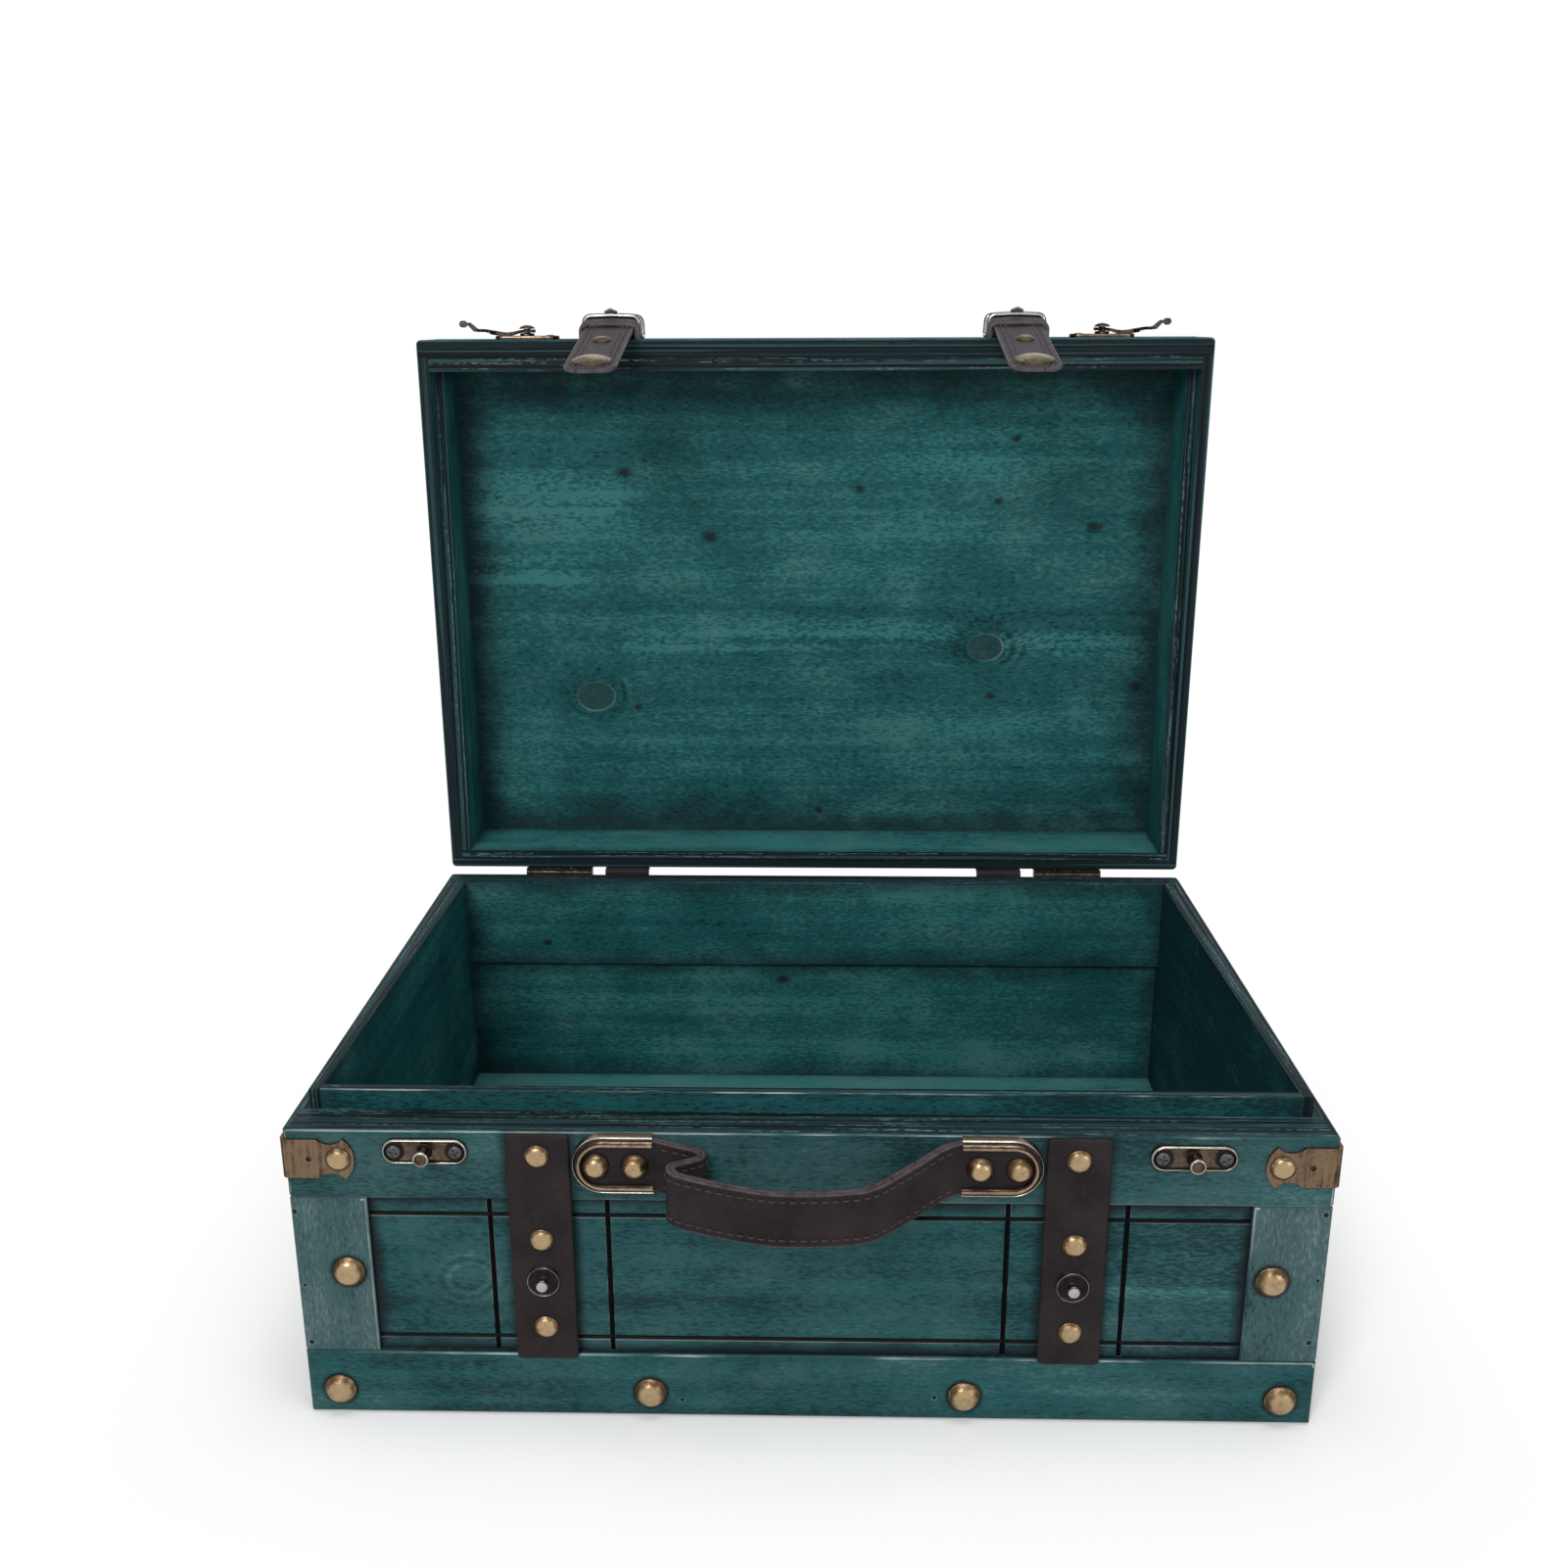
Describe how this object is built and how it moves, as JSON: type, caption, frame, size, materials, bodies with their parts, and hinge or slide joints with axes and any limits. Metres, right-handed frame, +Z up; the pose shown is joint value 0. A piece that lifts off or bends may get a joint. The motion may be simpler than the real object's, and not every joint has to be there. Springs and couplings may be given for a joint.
{
  "type": "wooden suitcase box",
  "caption": "Stained wooden suitcase-style storage box with a hinged lid, leather carrying handle, strap flaps with snap fasteners, hook latches and brass tacks.",
  "frame": {"origin": "on the ground under the middle of the base, on the underside of the floor panel", "axes": "+Z up, -Y out of the front that carries the handle, +X to the right seen from the front"},
  "size_m": [0.336, 0.2971, 0.349],
  "materials": {
    "stained_wood": "teal stain over pine, rubbed pale at the arrises and darkened at the board edges, satin",
    "dark_leather": "very dark brown leather, stitched and matt",
    "antique_brass": "antique brass, darkened in the hollows and polished on the high spots",
    "aged_copper": "aged copper brown sheet, brushed",
    "nickel_steel": "dull nickel plate",
    "blackened_steel": "blackened screw heads"
  },
  "bodies": {
    "base": {"base_back_board": "stained_wood", "base_back_frame": "stained_wood", "base_back_liner": "stained_wood", "base_back_straps": "dark_leather", "base_floor_panel": "stained_wood", "base_front_board": "stained_wood", "base_front_bottom_rail": "stained_wood", "base_front_liner": "stained_wood", "base_front_stiles": "stained_wood", "base_front_straps": "dark_leather", "base_front_top_rail": "stained_wood", "base_left_board": "stained_wood", "base_left_frame": "stained_wood", "base_left_liner": "stained_wood", "base_right_board": "stained_wood", "base_right_frame": "stained_wood", "base_right_liner": "stained_wood", "base_screws": "blackened_steel", "base_strap_tacks": "antique_brass", "bracket_tacks": "antique_brass", "handle_band": "dark_leather", "handle_tacks": "antique_brass", "hinge_pins": "antique_brass", "left_catch_plate": "antique_brass", "left_corner_bracket": "aged_copper", "left_handle_plate": "antique_brass", "left_hinge_base_leaf": "antique_brass", "rail_tacks": "antique_brass", "right_catch_plate": "antique_brass", "right_corner_bracket": "aged_copper", "right_handle_plate": "antique_brass", "right_hinge_base_leaf": "antique_brass", "snap_studs": "antique_brass"},
    "lid": {"lid_back_board": "stained_wood", "lid_back_liner": "stained_wood", "lid_front_board": "stained_wood", "lid_front_liner": "stained_wood", "lid_left_board": "stained_wood", "lid_panel": "stained_wood", "lid_right_board": "stained_wood", "lid_screws": "blackened_steel", "lid_side_liners": "stained_wood", "lid_strap_tacks": "antique_brass", "lid_straps": "dark_leather", "lid_top_frame": "stained_wood", "left_buckle": "nickel_steel", "right_buckle": "nickel_steel", "left_pivot_plate": "antique_brass", "right_pivot_plate": "antique_brass", "left_hinge_lid_leaf": "antique_brass", "right_hinge_lid_leaf": "antique_brass"},
    "left_hook_body": {"left_hook": "antique_brass"},
    "left_flap_bend": {"left_flap_root": "dark_leather"},
    "left_flap_end": {"left_flap": "dark_leather", "left_snap_cap": "antique_brass"},
    "right_hook_body": {"right_hook": "antique_brass"},
    "right_flap_bend": {"right_flap_root": "dark_leather"},
    "right_flap_end": {"right_flap": "dark_leather", "right_snap_cap": "antique_brass"}
  },
  "joints": [
    {"name": "lid_hinge", "type": "hinge", "parent": "base", "child": "lid", "pos_m": [0, 0.1182, 0.1057], "axis": [1, 0, 0], "range_deg": [0, 90]},
    {"name": "left_hook_swing", "type": "hinge", "parent": "lid", "child": "left_hook_body", "pos_m": [-0.11996, 0.1279, 0.3399], "axis": [0, 0, 1], "range_deg": [0, 90]},
    {"name": "left_flap_fold", "type": "hinge", "parent": "lid", "child": "left_flap_bend", "pos_m": [-0.08448, 0.1209, 0.3441], "axis": [1, 0, 0], "range_deg": [-21, 0]},
    {"name": "left_flap_press", "type": "hinge", "parent": "left_flap_bend", "child": "left_flap_end", "pos_m": [-0.08448, 0.11262, 0.34219], "axis": [1, 0, 0], "range_deg": [-45, 8]},
    {"name": "right_hook_swing", "type": "hinge", "parent": "lid", "child": "right_hook_body", "pos_m": [0.11996, 0.1279, 0.3399], "axis": [0, 0, -1], "range_deg": [0, 90]},
    {"name": "right_flap_fold", "type": "hinge", "parent": "lid", "child": "right_flap_bend", "pos_m": [0.08448, 0.1209, 0.3441], "axis": [1, 0, 0], "range_deg": [-21, 0]},
    {"name": "right_flap_press", "type": "hinge", "parent": "right_flap_bend", "child": "right_flap_end", "pos_m": [0.08448, 0.11262, 0.34219], "axis": [1, 0, 0], "range_deg": [-45, 8]}
  ],
  "couplings": [
    {"joint": "left_flap_fold", "follows": "lid_hinge", "ratio": -0.23333},
    {"joint": "right_flap_fold", "follows": "lid_hinge", "ratio": -0.23333}
  ]
}
